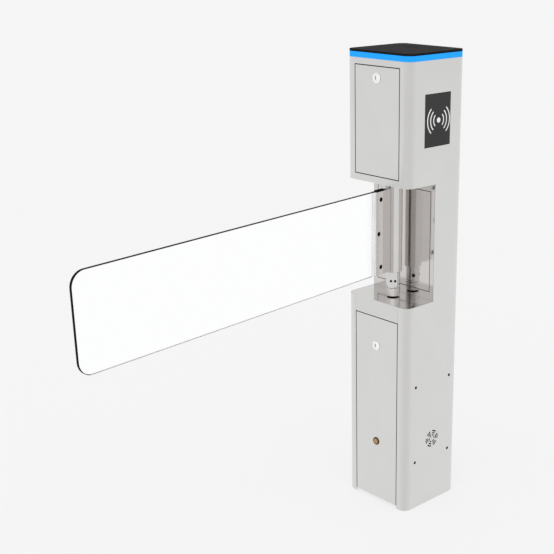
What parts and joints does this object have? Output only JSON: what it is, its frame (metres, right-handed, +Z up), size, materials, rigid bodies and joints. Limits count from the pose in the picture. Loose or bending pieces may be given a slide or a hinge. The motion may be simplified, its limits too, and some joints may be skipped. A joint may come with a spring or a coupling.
{
  "type": "swing barrier gate",
  "caption": "Slim access post with a clear panel swinging on an upright shaft, geared drive, tilt-out service doors with cam locks, card reader and light band.",
  "frame": {"origin": "centre of the post's foot, in the floor plane", "axes": "+Z up; the service doors and the recess face -X, the way the closed panel points; the card reader faces -Y"},
  "size_m": [0.9299, 0.18, 1],
  "materials": {
    "satin_steel": "satin stainless sheet, fine vertical grain",
    "polished_steel": "mirror polished stainless",
    "plain_steel": "plain machined or zinc plated steel",
    "charcoal_lid": "satin charcoal",
    "blue_diffuser": "lit blue diffuser",
    "clear_acrylic": "clear polished acrylic",
    "black_glass": "smooth black window",
    "black_plastic": "black moulded",
    "black_steel": "blackened steel",
    "nickel": "bright nickel plated or ground steel",
    "rubber": "black rubber",
    "circuit_green": "solder mask",
    "terminal_green": "moulded green",
    "motor_grey": "grey painted",
    "amber_lens": "amber clear plastic",
    "bronze_ring": "dark bronze",
    "cone_paper": "black paper and painted steel",
    "aluminium": "machined or folded aluminium"
  },
  "bodies": {
    "housing": {"housing_shell": "satin_steel", "base_plate": "plain_steel", "ledge_plate": "polished_steel", "recess_back_wall": "polished_steel", "recess_cover": "polished_steel", "recess_ceiling": "satin_steel", "upper_door_frame": "plain_steel", "lower_door_frame": "plain_steel", "light_band": "blue_diffuser", "led_ring": "circuit_green", "top_lid": "charcoal_lid", "reader_window": "black_glass", "reader_module": "black_plastic", "speaker": "cone_paper", "housing_screw_1": "black_steel", "housing_screw_2": "black_steel", "housing_screw_3": "black_steel", "housing_screw_4": "black_steel", "equipment_plate": "plain_steel", "power_supply": "aluminium", "terminal_block": "terminal_green", "control_board_tray": "plain_steel", "control_board": "circuit_green", "bearing_plate": "aluminium", "motor_plate": "aluminium", "chassis_bracket_left": "plain_steel", "chassis_bracket_right": "plain_steel", "upper_shaft_bearing": "nickel", "lower_shaft_bearing": "nickel", "column_bearing_block": "aluminium", "column_bearing": "nickel", "floor_collar": "polished_steel", "gearmotor": "motor_grey", "motor_brake": "black_plastic", "limit_sensor_left": "black_plastic", "limit_sensor_right": "black_plastic"},
    "gate": {"drive_shaft": "nickel", "main_gear": "plain_steel", "limit_disc": "black_steel", "shaft_hub": "polished_steel", "column_tube": "polished_steel", "column_journal": "nickel", "clamp_cheek_front": "polished_steel", "clamp_cheek_back": "polished_steel", "clamp_gasket": "rubber", "clamp_bolt_1": "black_steel", "clamp_bolt_2": "black_steel", "clamp_bolt_3": "black_steel", "gate_panel": "clear_acrylic"},
    "pinion": {"drive_pinion": "plain_steel"},
    "upper_door": {"upper_door": "satin_steel", "upper_lock_barrel": "nickel"},
    "upper_lock": {"upper_lock_plug": "nickel", "upper_lock_cam": "plain_steel"},
    "lower_door": {"lower_door": "satin_steel", "infrared_sensor": "bronze_ring", "sensor_lens": "amber_lens", "lower_lock_barrel": "nickel"},
    "lower_lock": {"lower_lock_plug": "nickel", "lower_lock_cam": "plain_steel"}
  },
  "joints": [
    {"name": "gate_swing", "type": "hinge", "parent": "housing", "child": "gate", "pos_m": [-0.03265, 0, 0], "axis": [0, 0, 1], "range_deg": [-95.4, 84.6]},
    {"name": "pinion_spin", "type": "hinge", "parent": "housing", "child": "pinion", "pos_m": [0.01545, 0, 0], "axis": [0, 0, 1], "range_deg": [-253.9, 286.3]},
    {"name": "upper_door_tilt", "type": "hinge", "parent": "housing", "child": "upper_door", "pos_m": [-0.08375, 0, 0.7489], "axis": [0, -1, 0], "range_deg": [0, 45]},
    {"name": "upper_lock_turn", "type": "hinge", "parent": "upper_door", "child": "upper_lock", "pos_m": [-0.08375, 0, 0.9479], "axis": [-1, 0, 0], "range_deg": [0, 90]},
    {"name": "lower_door_tilt", "type": "hinge", "parent": "housing", "child": "lower_door", "pos_m": [-0.08375, 0, 0.007], "axis": [0, -1, 0], "range_deg": [0, 45]},
    {"name": "lower_lock_turn", "type": "hinge", "parent": "lower_door", "child": "lower_lock", "pos_m": [-0.08375, 0, 0.376], "axis": [-1, 0, 0], "range_deg": [0, 90]}
  ],
  "couplings": [
    {"joint": "pinion_spin", "follows": "gate_swing", "ratio": -3}
  ]
}
